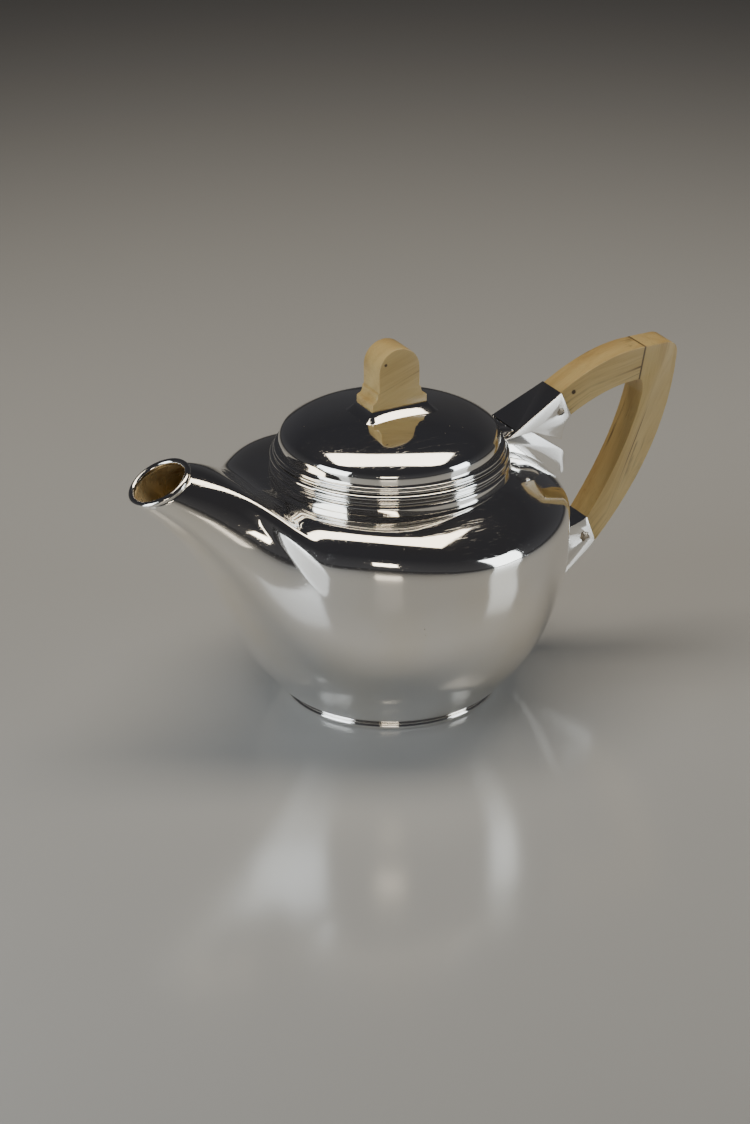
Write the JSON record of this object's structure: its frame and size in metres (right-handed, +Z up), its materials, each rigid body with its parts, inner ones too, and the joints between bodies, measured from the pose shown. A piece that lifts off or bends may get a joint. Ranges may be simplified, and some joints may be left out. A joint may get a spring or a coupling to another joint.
{
  "type": "silver teapot",
  "caption": "Round silver teapot with a drawn-out spout, a hinged domed lid with an arched knob, and an angular wooden handle pinned into silver sockets.",
  "frame": {"origin": "centre of the base, on the surface that the teapot rests on", "axes": "+Z up, +X towards the handle, -X towards the spout, +Y to the side, along the lid hinge's pin"},
  "size_m": [0.2377, 0.141, 0.1451],
  "materials": {
    "silver": "hand-polished silver with fine scratches",
    "pale_wood": "smooth, with dark streaks in the grain",
    "brass": "plain turned"
  },
  "bodies": {
    "pot": {"body_shell": "silver", "base_plate": "silver", "spout_rim": "silver", "strainer": "silver", "shoulder_step": "silver", "collar_ring": "silver", "socket_foot": "silver", "upper_socket": "silver", "lower_socket": "silver", "hinge_knuckles": "silver", "hinge_pin": "silver", "upper_arm": "pale_wood", "outer_arm": "pale_wood", "arm_dowel": "brass", "upper_pin": "silver", "lower_pin": "silver"},
    "lid": {"lid_rim": "silver", "lid_bezel": "silver", "lid_dome": "silver", "lid_leaf": "silver", "knob": "pale_wood", "knob_bolt": "brass", "knob_washer": "brass", "knob_nut": "brass"}
  },
  "joints": [
    {"name": "lid_hinge", "type": "hinge", "parent": "pot", "child": "lid", "pos_m": [0.0499, 0, 0.1002], "axis": [0, 1, 0], "range_deg": [0, 88]}
  ]
}
